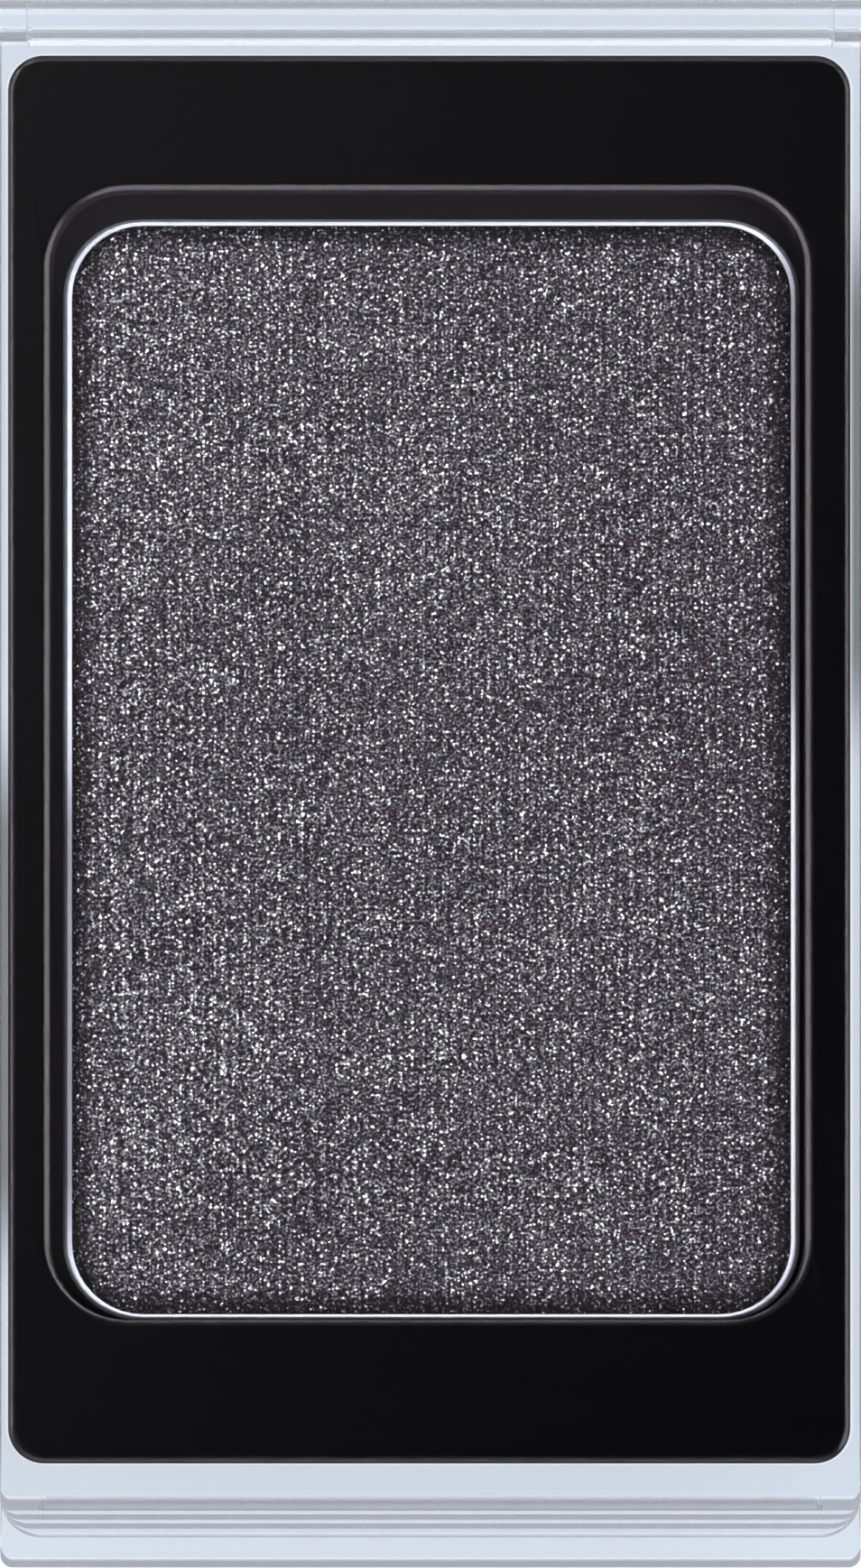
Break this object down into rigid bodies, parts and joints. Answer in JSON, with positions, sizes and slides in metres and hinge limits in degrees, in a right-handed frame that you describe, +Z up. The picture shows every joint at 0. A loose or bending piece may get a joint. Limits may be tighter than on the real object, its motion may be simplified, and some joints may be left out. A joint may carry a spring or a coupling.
{
  "type": "eyeshadow compact",
  "caption": "Clear hinged plastic case holding one lift-out refill: a gloss black frame with a metal pan of pressed, glittery anthracite powder.",
  "frame": {"origin": "middle of the case's footprint, on the surface that the case rests on", "axes": "+Z up through the lid, +Y towards the hinge, -Y towards the thumb grip, X across the case"},
  "size_m": [0.0266, 0.0484, 0.0067],
  "materials": {
    "clear_case": "gloss",
    "black_frame": "gloss",
    "pan_metal": "satin",
    "adhesive": "matte",
    "powder": "satin",
    "magnet_metal": "satin",
    "label_paper": "matte"
  },
  "bodies": {
    "case_body": {"tray": "clear_case", "refill_frame": "black_frame", "pan": "pan_metal", "pan_adhesive": "adhesive", "powder": "powder", "magnet": "magnet_metal", "magnet_adhesive": "adhesive", "label": "label_paper"},
    "lid_body": {"lid": "clear_case"}
  },
  "joints": [
    {"name": "lid_hinge", "type": "hinge", "parent": "case_body", "child": "lid_body", "pos_m": [0, 0.02355, 0.00585], "axis": [-1, 0, 0], "range_deg": [0, 175]}
  ]
}
